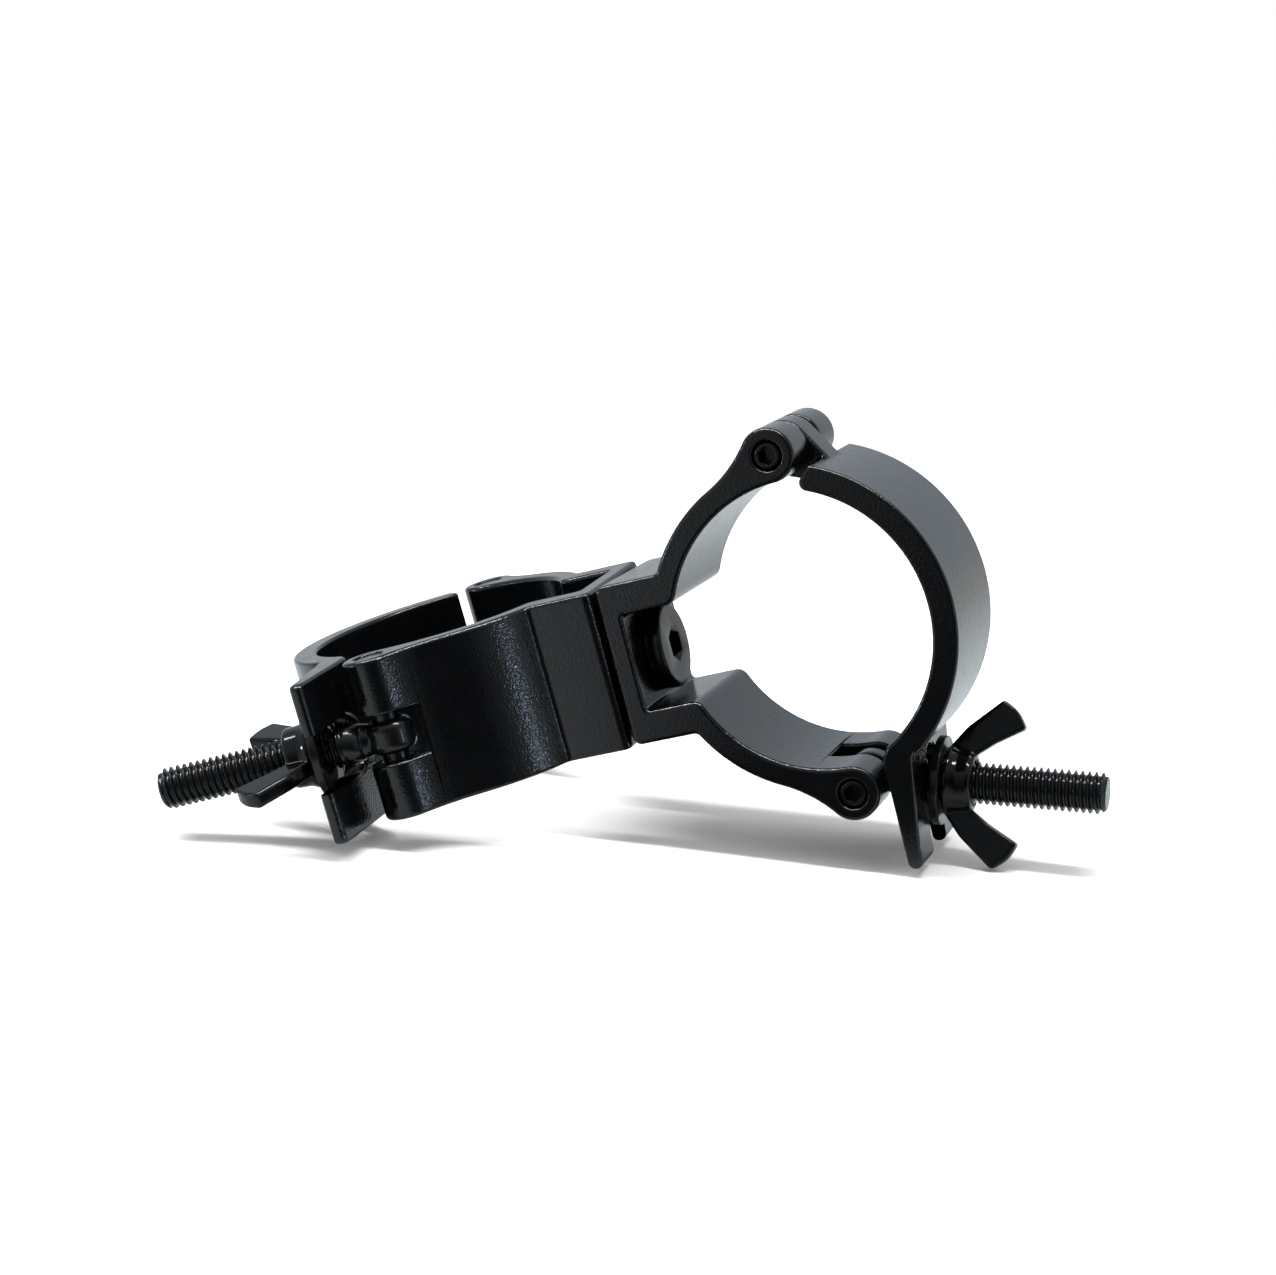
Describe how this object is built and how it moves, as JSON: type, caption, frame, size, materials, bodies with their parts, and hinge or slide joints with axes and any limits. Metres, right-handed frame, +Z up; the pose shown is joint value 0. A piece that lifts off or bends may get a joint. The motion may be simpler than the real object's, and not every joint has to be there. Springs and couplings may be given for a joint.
{
  "type": "double swivel pipe clamp",
  "caption": "Black double swivel pipe clamp: hinged jaws on a shared pivot, closed by swinging eye bolts with wing nuts.",
  "frame": {"origin": "centre of the bounding box on the floor that the clamp rests on", "axes": "+Z up; +X from half b to half a, along the floor under the pivot axis, which rises 16.7 degrees towards +X; -Y is the side seen first"},
  "size_m": [0.1672, 0.089, 0.0795],
  "materials": {
    "coat": "satin black powder coat",
    "nut_coat": "gloss black coat",
    "black_steel": "blackened",
    "nylon": "matte"
  },
  "bodies": {
    "half_a": {"saddle_a": "coat", "hinge_pin_a": "black_steel", "bolt_pin_a": "black_steel", "pivot_head_washer": "black_steel"},
    "jaw_a": {"jaw_a": "coat"},
    "bolt_a": {"eye_bolt_a": "black_steel"},
    "washer_a": {"washer_a": "black_steel"},
    "nut_a": {"wing_nut_a": "nut_coat"},
    "half_b": {"saddle_b": "coat", "hinge_pin_b": "black_steel", "bolt_pin_b": "black_steel", "pivot_bolt": "black_steel", "pivot_shim": "nylon", "pivot_nut_washer": "black_steel", "pivot_nut": "black_steel", "pivot_nut_insert": "nylon"},
    "jaw_b": {"jaw_b": "coat"},
    "bolt_b": {"eye_bolt_b": "black_steel"},
    "washer_b": {"washer_b": "black_steel"},
    "nut_b": {"wing_nut_b": "nut_coat"}
  },
  "joints": [
    {"name": "swivel", "type": "hinge", "parent": "half_a", "child": "half_b", "pos_m": [-0.00581, 0.00749, 0.0333], "axis": [0.9571, -0.0023, 0.2896], "continuous": true},
    {"name": "nut_a_travel", "type": "slide", "parent": "bolt_a", "child": "washer_a", "axis": [0.9998, -0.0002, 0.0216], "range_m": [0, 0.026]},
    {"name": "nut_a_spin", "type": "hinge", "parent": "washer_a", "child": "nut_a", "pos_m": [0.0401, 0.00764, 0.01456], "axis": [0.9998, -0.0002, 0.0216], "range_deg": [0, 7488]},
    {"name": "bolt_a_swing", "type": "hinge", "parent": "half_a", "child": "bolt_a", "pos_m": [0.0401, 0.00764, 0.01456], "axis": [0, 1, 0.008], "range_deg": [0, 72]},
    {"name": "jaw_a_hinge", "type": "hinge", "parent": "half_a", "child": "jaw_a", "pos_m": [0.02201, 0.00716, 0.07436], "axis": [0, -1, -0.008], "range_deg": [0, 10]},
    {"name": "nut_b_travel", "type": "slide", "parent": "bolt_b", "child": "washer_b", "axis": [-0.9238, -0.2672, -0.2743], "range_m": [0, 0.026]},
    {"name": "nut_b_spin", "type": "hinge", "parent": "washer_b", "child": "nut_b", "pos_m": [-0.04234, -0.02362, 0.02075], "axis": [-0.9238, -0.2672, -0.2743], "range_deg": [0, 7488]},
    {"name": "bolt_b_swing", "type": "hinge", "parent": "half_b", "child": "bolt_b", "pos_m": [-0.04234, -0.02362, 0.02075], "axis": [-0.2894, -0.0461, 0.9561], "range_deg": [0, 72]},
    {"name": "jaw_b_hinge", "type": "hinge", "parent": "half_b", "child": "jaw_b", "pos_m": [-0.04303, 0.03879, 0.02354], "axis": [0.2894, 0.0461, -0.9561], "range_deg": [0, 10]}
  ],
  "couplings": [
    {"joint": "nut_a_spin", "follows": "nut_a_travel", "rad_per_m": 5026.5},
    {"joint": "bolt_a_swing", "follows": "nut_a_travel", "rad_per_m": 48.332},
    {"joint": "jaw_a_hinge", "follows": "nut_a_travel", "rad_per_m": 6.7128},
    {"joint": "nut_b_spin", "follows": "nut_b_travel", "rad_per_m": 5026.5},
    {"joint": "bolt_b_swing", "follows": "nut_b_travel", "rad_per_m": 48.332},
    {"joint": "jaw_b_hinge", "follows": "nut_b_travel", "rad_per_m": 6.7128}
  ]
}
